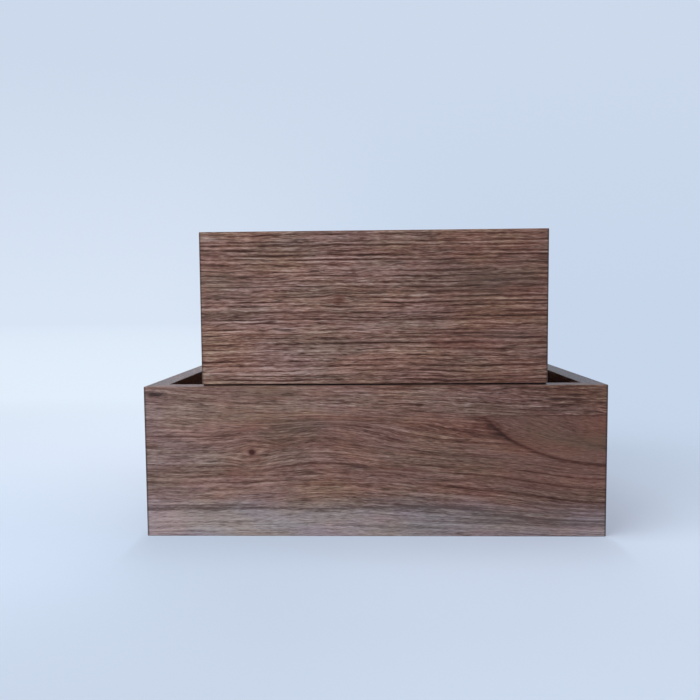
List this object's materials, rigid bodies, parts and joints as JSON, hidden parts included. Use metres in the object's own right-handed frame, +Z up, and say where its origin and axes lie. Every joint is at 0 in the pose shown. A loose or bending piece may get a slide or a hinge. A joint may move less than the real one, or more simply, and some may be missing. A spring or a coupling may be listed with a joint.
{
  "type": "cosmetic organizer box with drawer",
  "caption": "Walnut cosmetic organizer: an open compartment tray below, and a lift-off cabinet with one drawer resting across its rim.",
  "frame": {"origin": "on the ground under the middle of the tray", "axes": "+X along the tray's long side, +Y the way the drawer opens, +Z up"},
  "size_m": [0.36, 0.24, 0.239],
  "materials": {
    "walnut": "satin oil",
    "walnut_plywood": "satin oil",
    "beech": "planed, waxed",
    "felt": "pressed wool felt",
    "screw_steel": "zinc plated"
  },
  "bodies": {
    "tray": {"tray_back_wall": "walnut", "tray_front_wall": "walnut", "tray_left_wall": "walnut", "tray_right_wall": "walnut", "tray_base_panel": "walnut_plywood", "tray_corner_tongues": "beech", "tray_felt_lining": "felt", "tray_long_divider": "walnut", "tray_left_cross_divider": "walnut", "tray_right_cross_divider": "walnut"},
    "cabinet": {"cabinet_back_board": "walnut", "cabinet_left_side": "walnut", "cabinet_right_side": "walnut", "cabinet_top_board": "walnut", "cabinet_bottom_board": "walnut", "cabinet_corner_tongues": "beech", "cabinet_left_runner": "beech", "cabinet_right_runner": "beech", "runner_screws": "screw_steel", "cabinet_back_rest_strip": "felt", "cabinet_front_rest_strip": "felt", "drawer_bumpers": "felt"},
    "drawer": {"drawer_front": "walnut", "drawer_left_side": "walnut", "drawer_right_side": "walnut", "drawer_back": "walnut", "drawer_bottom_panel": "walnut_plywood", "drawer_bottom_screws": "screw_steel", "drawer_felt_lining": "felt", "drawer_brush_divider": "walnut", "drawer_left_divider": "walnut", "drawer_right_divider": "walnut"}
  },
  "joints": [
    {"name": "cabinet_lift", "type": "slide", "parent": "tray", "child": "cabinet", "axis": [0, 0, 1], "range_m": [0, 0.15]},
    {"name": "drawer_slide", "type": "slide", "parent": "cabinet", "child": "drawer", "axis": [0, 1, 0], "range_m": [0, 0.15]}
  ]
}
